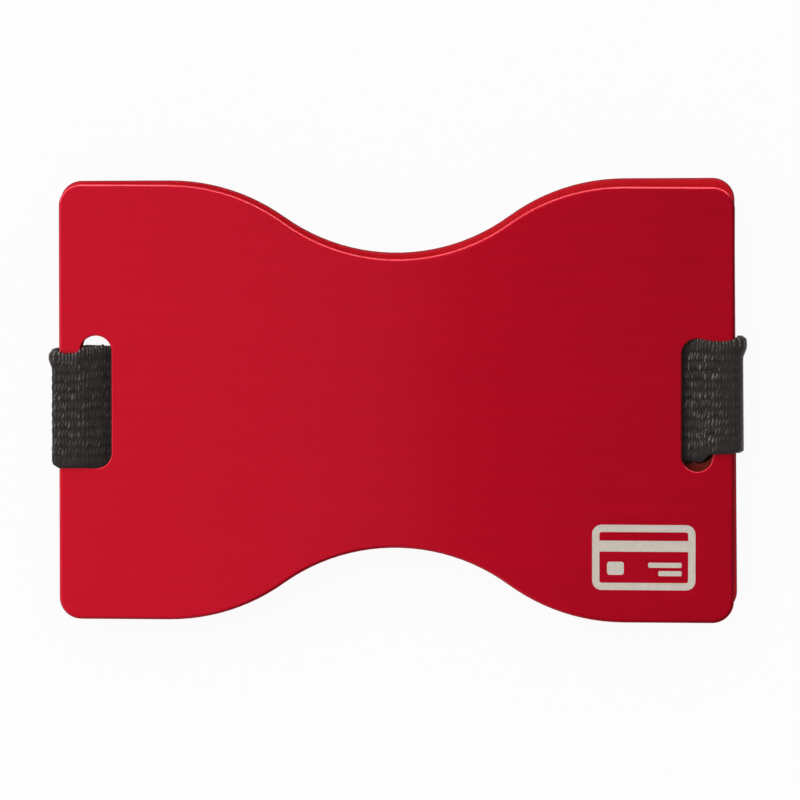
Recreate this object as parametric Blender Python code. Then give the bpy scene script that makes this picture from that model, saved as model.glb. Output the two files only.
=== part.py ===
"""Card holder for a pocket: two anodised aluminium plates laced on one loop of woven elastic.

The holder lies flat. +Z is up, out of the front plate, +X runs along the plates and +Y across
them. The origin is under the middle of the holder, on the surface that it lies on.

Both plates are the same part. The rear one is turned over about its long side. The elastic runs
straight across behind each plate, comes out through its two slots, lies over the strip outside
each slot and goes round the plate's short edges to the other plate. The cards go between the two
inner runs, and the elastic stretches at the two sides as the stack grows.
"""

import math

import bmesh
import bpy
from mathutils import Matrix, Vector

MM = 0.001

# Plates
PLATE_WIDTH = 93.0 * MM
PLATE_HEIGHT = 60.0 * MM
PLATE_THICKNESS = 1.0 * MM
PLATE_CORNER_RADIUS = 3.0 * MM
PLATE_EDGE_ROUNDING = 0.3 * MM

# Thumb notch in the middle of each long side
NOTCH_DEPTH = 10.1 * MM
NOTCH_RADIUS = 26.5 * MM
NOTCH_SHOULDER_RADIUS = 27.0 * MM

# Slots for the elastic, near the short sides
SLOT_WIDTH = 4.3 * MM
SLOT_END_ROOM = 1.25 * MM
STRIP_WIDTH = 2.95 * MM

# Elastic band
BAND_WIDTH = 15.8 * MM
BAND_THICKNESS = 1.1 * MM
SELVEDGE_ROUNDING_SHARE = 0.32
SLOT_INNER_BEND_RADIUS = 0.45 * MM
EDGE_INNER_BEND_RADIUS = 0.35 * MM

# Gaps that keep the pieces apart
BAND_TO_PLATE_GAP = 0.1 * MM
BAND_TO_SLOT_GAP = 0.2 * MM
BAND_TRIM_GAP = 0.05 * MM
BAND_BUTT_GAP = 0.1 * MM

# Seam that closes the loop
THREAD_DIAMETER = 0.25 * MM
THREAD_TO_BAND_GAP = 0.1 * MM
STITCH_WIDTH = 4.0 * MM
STITCH_PITCH = 1.4 * MM
STITCH_BEND_RADIUS = 0.25 * MM
THREAD_ROUNDNESS = 2

# How the plates and the elastic have slipped against each other
PLATE_SLIP = 0.6 * MM
PLATE_TURN = math.radians(0.51)
FRONT_BAND_SHIFT = -0.03 * MM
FRONT_BAND_TILT = math.radians(1.32)
REAR_BAND_SHIFT = 0.5 * MM
REAR_BAND_TILT = math.radians(-0.29)

# Fineness of the round stretches
CHORD_ERROR = 0.01 * MM
EDGE_ROUNDING_STEPS = 1
WIDEST_ROUNDING_SHARE = 0.45
WELD_DISTANCE = 0.001 * MM
SMOOTH_ANGLE = math.radians(35)

# Worked out from the sizes above
SLOT_CENTRE = PLATE_WIDTH / 2 - STRIP_WIDTH - SLOT_WIDTH / 2
SLOT_LENGTH = BAND_WIDTH + 2 * SLOT_END_ROOM
SELVEDGE_ROUNDING = BAND_THICKNESS * SELVEDGE_ROUNDING_SHARE
LAYER = BAND_TO_PLATE_GAP + BAND_THICKNESS
WALL_X = PLATE_WIDTH / 2 + BAND_TO_PLATE_GAP + BAND_THICKNESS / 2
RUN_GAP = THREAD_DIAMETER + 2 * THREAD_TO_BAND_GAP
INNER_FACE_FROM_MIDDLE = RUN_GAP / 2 + LAYER
HALF_THICKNESS = INNER_FACE_FROM_MIDDLE + PLATE_THICKNESS + LAYER

ANODISED_RED = (0.52, 0.008, 0.022)
ELASTIC_BLACK = (0.018, 0.018, 0.019)
THREAD_BLACK = (0.022, 0.022, 0.024)


def clear_scene():
    for obj in list(bpy.data.objects):
        bpy.data.objects.remove(obj)


def new_collection(name, hidden=False):
    collection = bpy.data.collections.new(name)
    bpy.context.scene.collection.children.link(collection)
    collection.hide_render = hidden
    return collection


def new_material(name, colour, roughness, metallic):
    material = bpy.data.materials.new(name)
    material.use_nodes = True
    shader = material.node_tree.nodes["Principled BSDF"]
    shader.inputs["Base Color"].default_value = (*colour, 1)
    shader.inputs["Roughness"].default_value = roughness
    shader.inputs["Metallic"].default_value = metallic
    return material


def arc(centre, radius, start, end):
    """Points on an arc, both ends included, with no chord further off it than CHORD_ERROR."""
    widest_step = 2 * math.acos(1 - min(1, CHORD_ERROR / radius))
    steps = max(2, math.ceil(abs(end - start) / widest_step))
    points = []
    for i in range(steps + 1):
        angle = start + (end - start) * i / steps
        points.append((centre[0] + radius * math.cos(angle), centre[1] + radius * math.sin(angle)))
    return points


def plate_outline(grow):
    """The plate's outline, grown outwards by a gap. The upper half is drawn, then turned round."""
    right = PLATE_WIDTH / 2
    top = PLATE_HEIGHT / 2
    quarter = math.pi / 2
    swing = math.acos(1 - NOTCH_DEPTH / (NOTCH_RADIUS + NOTCH_SHOULDER_RADIUS))
    notch_half_width = (NOTCH_RADIUS + NOTCH_SHOULDER_RADIUS) * math.sin(swing)
    corner = PLATE_CORNER_RADIUS
    shoulder = NOTCH_SHOULDER_RADIUS

    upper = arc((right - corner, top - corner), corner + grow, 0, quarter)
    upper += arc((notch_half_width, top - shoulder), shoulder + grow, quarter, quarter + swing)
    notch_centre = (0, top - NOTCH_DEPTH + NOTCH_RADIUS)
    upper += arc(notch_centre, NOTCH_RADIUS - grow, swing - quarter, -swing - quarter)[1:-1]
    upper += arc((-notch_half_width, top - shoulder), shoulder + grow, quarter - swing, quarter)
    upper += arc((corner - right, top - corner), corner + grow, quarter, 2 * quarter)
    lower = [(-x, -y) for x, y in upper]
    return upper + lower


def slot_outline(side, grow):
    """The slot at one side: two straights and two half rounds, drawn in by a gap."""
    radius = SLOT_WIDTH / 2
    reach = SLOT_LENGTH / 2 - radius
    x = side * SLOT_CENTRE
    half_turn = math.pi
    far_end = arc((x, reach), radius - grow, 0, half_turn)
    near_end = arc((x, -reach), radius - grow, half_turn, 2 * half_turn)
    return far_end + near_end


def flat_curve(name, outlines, thickness, wanted_rounding):
    """A filled 2D curve of closed outlines, thickened evenly, with its edges rounded inwards."""
    rounding = min(wanted_rounding, thickness * WIDEST_ROUNDING_SHARE)
    curve = bpy.data.curves.new(name, "CURVE")
    curve.dimensions = "2D"
    curve.fill_mode = "BOTH"
    curve.extrude = thickness / 2 - rounding
    curve.bevel_depth = rounding
    curve.bevel_resolution = EDGE_ROUNDING_STEPS
    curve.offset = -rounding
    for points in outlines:
        spline = curve.splines.new("POLY")
        spline.points.add(len(points) - 1)
        for target, (x, y) in zip(spline.points, points):
            target.co = (x, y, 0, 1)
        spline.use_cyclic_u = True
    return bpy.data.objects.new(name, curve)


def finished_mesh(curve_object, placed):
    """The curve's mesh with its caps welded on, moved by the matrix placed. The curve is removed."""
    bpy.context.scene.collection.objects.link(curve_object)
    bpy.context.view_layer.update()
    graph = bpy.context.evaluated_depsgraph_get()
    mesh = bpy.data.meshes.new_from_object(curve_object.evaluated_get(graph))
    mesh.name = curve_object.name
    shape = bmesh.new()
    shape.from_mesh(mesh)
    bmesh.ops.remove_doubles(shape, verts=shape.verts, dist=WELD_DISTANCE)
    bmesh.ops.transform(shape, matrix=placed @ curve_object.matrix_world, verts=shape.verts)
    bmesh.ops.recalc_face_normals(shape, faces=shape.faces)
    shape.to_mesh(mesh)
    shape.free()
    mesh.shade_smooth()
    mesh.set_sharp_from_angle(angle=SMOOTH_ANGLE)
    bpy.data.objects.remove(curve_object)
    return mesh


def add_piece(name, mesh, material, parent, collection):
    piece = bpy.data.objects.new(name, mesh)
    piece.parent = parent
    collection.objects.link(piece)
    mesh.materials.clear()
    if material:
        mesh.materials.append(material)
    return piece


def plate_mesh(name, gap, rounding):
    """A plate with its inner face on z = 0, or a block that keeps a gap all round one."""
    outlines = [plate_outline(gap), slot_outline(-1, gap), slot_outline(1, gap)]
    curve_object = flat_curve(name, outlines, PLATE_THICKNESS + 2 * gap, rounding)
    return finished_mesh(curve_object, Matrix.Translation((0, 0, PLATE_THICKNESS / 2)))


def band_route():
    """Corners of the band's middle line in x and z, from the middle of a plate to its short edge.

    Each corner is (x, z, bend radius). The plate's inner face is on z = 0. The band crosses the
    slot on the slope that keeps it clear of the slot's inner and outer rims alike.
    """
    diagonal = math.hypot(SLOT_WIDTH, PLATE_THICKNESS)
    room = BAND_THICKNESS + 2 * BAND_TO_SLOT_GAP
    slope = math.atan2(PLATE_THICKNESS, SLOT_WIDTH) + math.asin(min(1, room / diagonal))
    inner_z = -BAND_TO_PLATE_GAP - BAND_THICKNESS / 2
    outer_z = PLATE_THICKNESS + BAND_TO_PLATE_GAP + BAND_THICKNESS / 2
    climb = (outer_z - inner_z) / 2 / math.tan(slope)
    slot_bend = SLOT_INNER_BEND_RADIUS + BAND_THICKNESS / 2
    edge_bend = EDGE_INNER_BEND_RADIUS + BAND_THICKNESS / 2
    return [
        (BAND_BUTT_GAP / 2, inner_z, 0),
        (SLOT_CENTRE - climb, inner_z, slot_bend),
        (SLOT_CENTRE + climb, outer_z, slot_bend),
        (WALL_X, outer_z, edge_bend),
        (WALL_X, BAND_BUTT_GAP / 2, 0),
    ]


def mirrored_route(route):
    return [(-x, z, radius) for x, z, radius in route]


def bend(before, corner, after, offset):
    """The rounded corner of a line that runs beside the route, to its left by the offset."""
    into = math.atan2(corner[1] - before[1], corner[0] - before[0])
    out = math.atan2(after[1] - corner[1], after[0] - corner[0])
    turn = math.remainder(out - into, 2 * math.pi)
    radius = corner[2]
    side = math.copysign(1, turn)
    back = radius * math.tan(abs(turn) / 2)
    centre = (
        corner[0] - back * math.cos(into) - side * radius * math.sin(into),
        corner[1] - back * math.sin(into) + side * radius * math.cos(into),
    )
    start = into - side * math.pi / 2
    return arc(centre, radius - side * offset, start, start + turn)


def beside(route, offset):
    """The points of a line beside the route, to its left by the offset, with its bends rounded."""
    into = math.atan2(route[1][1] - route[0][1], route[1][0] - route[0][0])
    out = math.atan2(route[-1][1] - route[-2][1], route[-1][0] - route[-2][0])
    points = [(route[0][0] - offset * math.sin(into), route[0][1] + offset * math.cos(into))]
    for before, corner, after in zip(route, route[1:], route[2:]):
        points += bend(before, corner, after, offset)
    points.append((route[-1][0] - offset * math.sin(out), route[-1][1] + offset * math.cos(out)))
    return points


def across_plate(shift, tilt):
    """Leans a band that crosses a plate: its middle line is moved along y, and tilted."""
    lean = Matrix.Identity(4)
    lean[1][0] = math.tan(tilt)
    return Matrix.Translation((0, shift, 0)) @ lean


def band_mesh(name, route, shift, tilt):
    """A stretch of band along a route in x and z, its width along y."""
    outline = beside(route, -BAND_THICKNESS / 2) + beside(route, BAND_THICKNESS / 2)[::-1]
    curve_object = flat_curve(name, [outline], BAND_WIDTH, SELVEDGE_ROUNDING)
    upright = Matrix.Rotation(math.pi / 2, 4, "X")
    return finished_mesh(curve_object, across_plate(shift, tilt) @ upright)


def trim_to_slots(piece, cutter):
    """Takes off the band's corners where it passes the round ends of the slots."""
    cut = piece.modifiers.new("round slot ends", "BOOLEAN")
    cut.operation = "DIFFERENCE"
    cut.object = cutter


def half_frame(name, location, rotation, collection):
    frame = bpy.data.objects.new(name, None)
    frame.empty_display_size = PLATE_HEIGHT / 2
    frame.location = location
    frame.rotation_euler = rotation
    collection.objects.link(frame)
    return frame


def build_plate(name, parent, material, collection, cutters):
    """A plate, and the hidden block that trims the band where it passes this plate."""
    add_piece(name, plate_mesh(name, 0, PLATE_EDGE_ROUNDING), material, parent, collection)
    block_name = name + "_trim"
    block = add_piece(block_name, plate_mesh(block_name, BAND_TRIM_GAP, 0), None, parent, cutters)
    block.hide_render = True
    block.display_type = "WIRE"
    return block


def band_section():
    """The band cut across: a rectangle with rounded selvedges."""
    radius = SELVEDGE_ROUNDING
    x = BAND_THICKNESS / 2 - radius
    y = BAND_WIDTH / 2 - radius
    quarter = math.pi / 2
    points = []
    for turn, (side_x, side_y) in enumerate(((1, 1), (-1, 1), (-1, -1), (1, -1))):
        points += arc((side_x * x, side_y * y), radius, turn * quarter, (turn + 1) * quarter)
    return points


def side_wall(name, side, front, rear, material, collection):
    """The stretch of band between the plates at one side, lofted between the two ends it meets.

    The rear frame is turned over, so the section's y is reversed there.
    """
    mesh = finished_mesh(flat_curve(name, [band_section()], LAYER, 0), Matrix.Identity(4))
    to_front = front.matrix_world @ across_plate(FRONT_BAND_SHIFT, FRONT_BAND_TILT)
    to_rear = rear.matrix_world @ across_plate(REAR_BAND_SHIFT, REAR_BAND_TILT)
    for vertex in mesh.vertices:
        x = side * WALL_X + vertex.co.x
        if vertex.co.z > 0:
            vertex.co = to_front @ Vector((x, vertex.co.y, -BAND_BUTT_GAP / 2))
        else:
            vertex.co = to_rear @ Vector((x, -vertex.co.y, -BAND_BUTT_GAP / 2))
    return add_piece(name, mesh, material, None, collection)


def seam_thread(parent, material, collection):
    """One thread in zigzag across the butt joint, on the side of the rear run that faces the cards."""
    z = -INNER_FACE_FROM_MIDDLE
    stitches = int((BAND_WIDTH - 2 * SELVEDGE_ROUNDING) / STITCH_PITCH)
    reach = STITCH_WIDTH / 2
    corners = []
    for i in range(stitches + 1):
        y = REAR_BAND_SHIFT + STITCH_PITCH * (i - stitches / 2)
        x = reach if i % 2 else -reach
        corners.append((x, y, STITCH_BEND_RADIUS))
    points = beside(corners, 0)
    curve = bpy.data.curves.new("seam_thread", "CURVE")
    curve.dimensions = "3D"
    curve.bevel_depth = THREAD_DIAMETER / 2
    curve.bevel_resolution = THREAD_ROUNDNESS
    curve.use_fill_caps = True
    spline = curve.splines.new("POLY")
    spline.points.add(len(points) - 1)
    for target, (x, y) in zip(spline.points, points):
        target.co = (x, y, z, 1)
    mesh = finished_mesh(bpy.data.objects.new("seam_thread", curve), Matrix.Identity(4))
    return add_piece("seam_thread", mesh, material, parent, collection)


def build():
    clear_scene()
    collection = new_collection("card_holder")
    cutters = new_collection("cutters", hidden=True)
    red = new_material("anodised_red", ANODISED_RED, 0.3, 1.0)
    black = new_material("elastic_black", ELASTIC_BLACK, 0.85, 0.0)
    thread = new_material("thread_black", THREAD_BLACK, 0.7, 0.0)

    front_place = (0, -PLATE_SLIP / 2, HALF_THICKNESS + INNER_FACE_FROM_MIDDLE)
    rear_place = (0, PLATE_SLIP / 2, HALF_THICKNESS - INNER_FACE_FROM_MIDDLE)
    front = half_frame("front_half", front_place, (0, 0, 0), collection)
    rear = half_frame("rear_half", rear_place, (math.pi, 0, PLATE_TURN), collection)

    front_block = build_plate("front_plate", front, red, collection, cutters)
    rear_block = build_plate("rear_plate", rear, red, collection, cutters)

    right = band_route()
    left = mirrored_route(right)
    across = left[:0:-1] + right[1:]
    front_mesh = band_mesh("band_front", across, FRONT_BAND_SHIFT, FRONT_BAND_TILT)
    front_band = add_piece("band_front", front_mesh, black, front, collection)
    trim_to_slots(front_band, front_block)
    for name, route in (("band_rear_right", right), ("band_rear_left", left)):
        rear_mesh = band_mesh(name, route, REAR_BAND_SHIFT, REAR_BAND_TILT)
        rear_band = add_piece(name, rear_mesh, black, rear, collection)
        trim_to_slots(rear_band, rear_block)

    bpy.context.view_layer.update()
    side_wall("band_side_left", -1, front, rear, black, collection)
    side_wall("band_side_right", 1, front, rear, black, collection)
    seam_thread(rear, thread, collection)


build()
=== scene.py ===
# %% [markdown]
# This card holder is two equal plates of red anodised aluminium, laced together on one loop of
# black woven elastic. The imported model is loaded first, as a frame that never changes. It says
# where every piece lies, so each size here is read from it, or named where it is first used.

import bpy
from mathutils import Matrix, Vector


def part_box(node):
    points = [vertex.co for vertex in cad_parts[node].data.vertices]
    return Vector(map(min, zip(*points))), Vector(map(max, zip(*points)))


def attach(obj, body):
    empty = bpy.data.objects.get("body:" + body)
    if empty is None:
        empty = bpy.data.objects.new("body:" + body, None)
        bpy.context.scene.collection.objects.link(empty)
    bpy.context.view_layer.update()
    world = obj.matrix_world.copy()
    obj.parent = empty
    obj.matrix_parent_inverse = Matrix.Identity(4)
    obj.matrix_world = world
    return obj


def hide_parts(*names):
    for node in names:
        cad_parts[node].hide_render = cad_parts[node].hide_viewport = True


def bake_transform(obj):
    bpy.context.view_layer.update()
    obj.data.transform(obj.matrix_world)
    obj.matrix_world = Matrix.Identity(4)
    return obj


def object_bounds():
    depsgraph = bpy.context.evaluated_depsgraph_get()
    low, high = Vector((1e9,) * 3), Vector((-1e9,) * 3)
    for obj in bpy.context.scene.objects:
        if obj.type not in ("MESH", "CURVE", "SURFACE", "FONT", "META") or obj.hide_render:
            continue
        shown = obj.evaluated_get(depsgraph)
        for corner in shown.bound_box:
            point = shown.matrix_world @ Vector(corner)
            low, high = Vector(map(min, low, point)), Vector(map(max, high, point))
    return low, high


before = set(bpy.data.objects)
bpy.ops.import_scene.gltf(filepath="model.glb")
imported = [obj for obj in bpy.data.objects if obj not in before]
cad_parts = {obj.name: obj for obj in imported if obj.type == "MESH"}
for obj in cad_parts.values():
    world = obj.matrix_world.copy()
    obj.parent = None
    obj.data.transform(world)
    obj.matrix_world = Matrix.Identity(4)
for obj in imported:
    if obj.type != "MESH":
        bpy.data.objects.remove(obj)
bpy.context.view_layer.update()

# %% [markdown]
# Operators act on whatever is selected, and the frame's pieces arrive selected. So a helper clears
# the selection before each piece, others open and close edit mode, and another one applies the
# modifiers that a piece was given. What repeats along a line is an Array modifier.
# Vertices are read and written as whole arrays, which is quick enough for a woven strip.

# %% Helpers for pieces
import math

import bpy
import numpy as np
from mathutils import Matrix, Vector

MM = 0.001
SAME_PLACE = 0.001 * MM


def select_only(piece):
    bpy.ops.object.select_all(action="DESELECT")
    piece.select_set(True)
    bpy.context.view_layer.objects.active = piece


def apply_modifiers(piece):
    select_only(piece)
    for modifier in list(piece.modifiers):
        bpy.ops.object.modifier_apply(modifier=modifier.name)


def repeat_along(piece, count, step, merge_distance):
    """Repeats a piece along a line and merges each copy to the last."""
    repeat = piece.modifiers.new("repeat", "ARRAY")
    repeat.count = count
    repeat.use_relative_offset = False
    repeat.use_constant_offset = True
    repeat.constant_offset_displace = step
    repeat.use_merge_vertices = True
    repeat.merge_threshold = merge_distance
    apply_modifiers(piece)


def open_edit():
    """Opens the active piece in edit mode, selected all over."""
    bpy.ops.object.mode_set(mode="EDIT")
    bpy.ops.mesh.select_all(action="SELECT")


def close_edit():
    bpy.ops.object.mode_set(mode="OBJECT")


def close_outwards():
    """Turns every face outwards and leaves edit mode."""
    bpy.ops.mesh.select_all(action="SELECT")
    bpy.ops.mesh.normals_make_consistent(inside=False)
    close_edit()


def copied_piece(name, mesh):
    """A new object with its own copy of a mesh."""
    piece = bpy.data.objects.new(name, mesh.copy())
    bpy.context.scene.collection.objects.link(piece)
    return piece


def points_of(piece):
    flat = np.empty(len(piece.data.vertices) * 3)
    piece.data.vertices.foreach_get("co", flat)
    return flat.reshape(-1, 3)


def move_points(piece, points):
    piece.data.vertices.foreach_set("co", np.asarray(points, float).ravel())
    piece.data.update()


def new_piece(name):
    """The object that an operator has just added, under its own name."""
    piece = bpy.context.object
    piece.name = name
    piece.data.name = name
    return piece


def report(piece):
    triangles = sum(len(face.vertices) - 2 for face in piece.data.polygons)
    print(piece.name, "has", triangles, "triangles")


# %% [markdown]
# The camera comes early, because every later choice is judged through it. It stands almost straight
# above the holder and a little towards its upper right corner. A long lens keeps the sides
# parallel, and a small shift puts the holder where the photograph has it.

# %% Camera
CAMERA_DISTANCE = 1.5
CAMERA_YAW = math.radians(4.05)
CAMERA_PITCH = math.radians(4.56)
CAMERA_LENS = 491.4
CAMERA_SHIFT = (0.00496, 0.00464)

plate_low, plate_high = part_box("front_plate")
plate_middle = (plate_low + plate_high) / 2
aim = Vector((plate_middle.x, plate_middle.y, plate_high.z))
camera_turn = Matrix.Rotation(CAMERA_YAW, 3, "Y") @ Matrix.Rotation(-CAMERA_PITCH, 3, "X")

bpy.ops.object.camera_add(location=aim + camera_turn @ Vector((0, 0, CAMERA_DISTANCE)))
camera = bpy.context.object
camera.name = "camera"
camera.rotation_euler = camera_turn.to_euler()
camera.data.lens = CAMERA_LENS
camera.data.shift_x, camera.data.shift_y = CAMERA_SHIFT
camera.data.dof.use_dof = False
bpy.context.scene.camera = camera
bpy.context.scene.view_settings.view_transform = "Standard"
print("camera at", tuple(camera.location))

# %% [markdown]
# The plates are stamped from sheet. Stamping rolls the rim over on the face that the punch enters
# and leaves it sharp on the other one, and only the outer faces show the rolled side. So each
# plate of the frame is cut at half its thickness, which gives its outline with both slots. The
# outline is extruded to the full thickness again, and two insets that rise make the rolled rim:
# steep outside and gentle inside. The wall below it breaks off at a slant, so the inner face is a
# little smaller. Small bevels with weighted normals finish every edge. The slots are punched later
# on, so their rims are drawn in to a share of that width. An attribute keeps which face is brushed
# and which is left matt.

# %% Plates
STEEP_WIDTH, STEEP_DEPTH = 0.21 * MM, 0.083 * MM
GENTLE_WIDTH, GENTLE_DEPTH = 0.26 * MM, 0.032 * MM
RIM_WIDTH, RIM_DEPTH = STEEP_WIDTH + GENTLE_WIDTH, STEEP_DEPTH + GENTLE_DEPTH
WALL_SLANT = 0.1 * MM
SLOT_RIM_SHARE = 0.42
SLOT_CENTRE = 41.4 * MM
SLOT_STRAIGHT = 7.0 * MM
SLOT_RADIUS = 2.15 * MM
PLATE_TURN = math.radians(0.51)
RIM_FINISH_WIDTH = 0.03 * MM
RIM_FINISH_ANGLE = math.radians(10)
FLAT_ANGLE = math.radians(0.5)
SHEET_SIDE = 0.3
SMOOTH_ANGLE = math.radians(32)

rear_low, rear_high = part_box("rear_plate")
rear_middle = (rear_low + rear_high) / 2
front_place = Matrix.Translation((plate_middle.x, plate_middle.y, plate_low.z))
turned_over = Matrix.Rotation(PLATE_TURN, 4, "Z") @ Matrix.Rotation(math.pi, 4, "X")
rear_place = Matrix.Translation((rear_middle.x, rear_middle.y, rear_high.z)) @ turned_over


def placed(matrix, points):
    turned = points @ np.array(matrix.to_3x3()).T
    return turned + np.array(matrix.translation)


def slant_walls(plate, place):
    """Draws the inner face in. In the plate's own frame it is at z = 0."""
    points = placed(place.inverted(), points_of(plate))
    normals = np.array([vertex.normal for vertex in plate.data.vertices]) @ np.array(place.to_3x3())
    outwards = normals[:, :2] / np.linalg.norm(normals[:, :2], axis=1)[:, None]
    on_inner_face = points[:, 2] < SAME_PLACE
    points[on_inner_face, :2] -= WALL_SLANT * outwards[on_inner_face]
    move_points(plate, placed(place, points))


def narrow_slot_rims(plate, place, thickness):
    """Draws the rims of the slots in. In the plate's own frame its outer face is uppermost."""
    points = placed(place.inverted(), points_of(plate))
    on_axis = np.column_stack((
        np.sign(points[:, 0]) * SLOT_CENTRE,
        np.clip(points[:, 1], -SLOT_STRAIGHT, SLOT_STRAIGHT),
    ))
    away = points[:, :2] - on_axis
    distance = np.linalg.norm(away, axis=1)[:, None]
    on_rim = (distance[:, 0] < SLOT_RADIUS + 2 * RIM_WIDTH) & (points[:, 2] > thickness / 2)
    drawn_in = on_axis + away / distance * (SLOT_RADIUS + SLOT_RIM_SHARE * (distance - SLOT_RADIUS))
    points[on_rim, :2] = drawn_in[on_rim]
    points[on_rim, 2] = thickness - SLOT_RIM_SHARE * (thickness - points[on_rim, 2])
    print(plate.name, "has", on_rim.sum(), "points on the rims of its slots")
    move_points(plate, placed(place, points))


def finished_plate(name, node, place, outer):
    """A plate whose outer face looks up, with outer = 1, or down, with outer = -1."""
    low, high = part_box(node)
    thickness = high.z - low.z
    plate = copied_piece(name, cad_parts[node].data)
    select_only(plate)
    open_edit()
    bpy.ops.mesh.remove_doubles(threshold=SAME_PLACE)
    middle = (0, 0, (low.z + high.z) / 2)
    bpy.ops.mesh.bisect(
        plane_co=middle, plane_no=(0, 0, 1), use_fill=True, clear_inner=True, clear_outer=True
    )
    bpy.ops.mesh.select_all(action="SELECT")
    bpy.ops.mesh.dissolve_limited(angle_limit=FLAT_ANGLE)
    bpy.ops.mesh.select_all(action="SELECT")
    bpy.ops.transform.translate(value=(0, 0, -outer * thickness / 2))
    close_edit()
    looks_outwards = plate.data.polygons[0].normal.z * outer > 0

    open_edit()
    if not looks_outwards:
        bpy.ops.mesh.flip_normals()
    bpy.ops.mesh.extrude_region_move(
        TRANSFORM_OT_translate={"value": (0, 0, outer * (thickness - RIM_DEPTH))}
    )
    bpy.ops.mesh.inset(thickness=STEEP_WIDTH, depth=STEEP_DEPTH)
    bpy.ops.mesh.inset(thickness=GENTLE_WIDTH, depth=GENTLE_DEPTH)
    close_outwards()
    slant_walls(plate, place)
    narrow_slot_rims(plate, place, thickness)

    rim = plate.modifiers.new("rim", "BEVEL")
    rim.limit_method = "ANGLE"
    rim.angle_limit = RIM_FINISH_ANGLE
    rim.width = RIM_FINISH_WIDTH
    rim.segments = 2
    apply_modifiers(plate)
    bpy.ops.object.shade_smooth_by_angle(angle=SMOOTH_ANGLE)
    weighted = plate.modifiers.new("flat faces stay flat", "WEIGHTED_NORMAL")
    weighted.keep_sharp = True
    apply_modifiers(plate)
    outside = placed(place.inverted(), points_of(plate))[:, 2] > SHEET_SIDE * thickness
    mark = plate.data.attributes.new("outside", "FLOAT", "POINT")
    mark.data.foreach_set("value", outside.astype(float))
    report(plate)
    return plate


front_plate = finished_plate("plate_front", "front_plate", front_place, 1)
rear_plate = finished_plate("plate_rear", "rear_plate", rear_place, -1)

# %% [markdown]
# The elastic is woven flat. Twelve rubber cores run along it, and one weft yarn after another
# wraps over and under them, so that each core shows a row of short stitches that lean a little.
# One yarn all round the strip is modelled once: a grid is rolled into the strip's section, and its
# points are raised where the yarn passes over a core. The underside faces the plates and the
# cards, so it has fewer points. One edge has teeth, and the other is smooth. Everything else is
# this slice, repeated.

# %% One yarn of the weave
STRIP_WIDTH = 15.8 * MM
STRIP_THICKNESS = 1.1 * MM
YARN_PITCH = 0.45 * MM
CORES = 12
STEPS_ALONG = 5
STEPS_OVER, STEPS_UNDER = 5, 1
STEPS_ROUND_EDGE = 4
EDGE_REACH = 0.36 * MM
YARN_GAP_DEPTH = 0.11 * MM
CORE_GAP_DEPTH = 0.03 * MM
BORDER_RELIEF_SHARE = 0.3
YARN_CREST_POWER, CORE_CREST_POWER = 1.3, 0.8
YARN_SLANT = 0.2 * MM
EDGE_TOOTH = 0.2 * MM

core_pitch = (STRIP_WIDTH - 2 * EDGE_REACH) / CORES
over_steps = CORES * STEPS_OVER
under_steps = CORES * STEPS_UNDER
steps_round = over_steps + under_steps + 2 * STEPS_ROUND_EDGE


def yarn_profile(along):
    """How high a yarn stands along the strip: 0 in the gap between two yarns, 1 on its crest."""
    return np.sin(np.pi * along) ** YARN_CREST_POWER


def core_profile(across):
    """How high a core stands across the strip: 0 between two cores, 1 on its crest."""
    return np.sin(np.pi * np.clip(across, 0, 1)) ** CORE_CREST_POWER


def section_point(step):
    """A point of the section as (across, up, share of the core crossed, side, relief)."""
    half = STRIP_WIDTH / 2 - EDGE_REACH
    edge_height = STRIP_THICKNESS / 2 - YARN_GAP_DEPTH
    if step < over_steps:
        share = step / STEPS_OVER
        relief = 1 if 1 < share < CORES - 1 else BORDER_RELIEF_SHARE
        return half - share * core_pitch, 1, share % 1, 1, relief
    step -= over_steps
    if step < STEPS_ROUND_EDGE:
        angle = math.pi / 2 - math.pi * step / STEPS_ROUND_EDGE
        return -half - EDGE_REACH * math.cos(angle), edge_height * math.sin(angle), 0, 0, 1
    step -= STEPS_ROUND_EDGE
    if step < under_steps:
        share = step / STEPS_UNDER
        return share * core_pitch - half, -1, share % 1, -1, 1
    step -= under_steps
    angle = -math.pi / 2 + math.pi * step / STEPS_ROUND_EDGE
    return half + EDGE_REACH * math.cos(angle), edge_height * math.sin(angle), 0, 0, 1


bpy.ops.mesh.primitive_grid_add(x_subdivisions=STEPS_ALONG, y_subdivisions=steps_round, size=1)
one_yarn = new_piece("one_yarn")
section = np.array([section_point(step) for step in range(steps_round)] + [section_point(0)])
grid = points_of(one_yarn)
along = np.round((grid[:, 0] + 0.5) * STEPS_ALONG) / STEPS_ALONG
step = np.round((grid[:, 1] + 0.5) * steps_round).astype(int)
across, up, share, side, relief = section[step].T

yarn = yarn_profile(along)
on_edge = side == 0
core = core_profile(share)
sunk = CORE_GAP_DEPTH * (1 - core) + YARN_GAP_DEPTH * (1 - yarn * core) * relief
height = np.where(on_edge, up, side * (STRIP_THICKNESS / 2 - sunk))
reach = np.where(on_edge & (across > 0), EDGE_TOOTH * (yarn - 1), 0)
slant = np.where(share > 0, YARN_SLANT * (0.5 - share), 0) * yarn
move_points(one_yarn, np.column_stack((along * YARN_PITCH + slant, across + reach, height)))
report(one_yarn)

# %% [markdown]
# An Array modifier repeats the yarn along the strip and merges each copy to the last. The ends are
# closed like a cut strip. Before the strip is bent, each point keeps its place in the weave as an
# attribute: how many yarns along, how many cores across, and how high it stands. The colour can
# then follow the yarns round every bend. A seeded hand makes some stitches stand higher or lie
# further over than others, and lets the teeth of the edges straggle.

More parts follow.
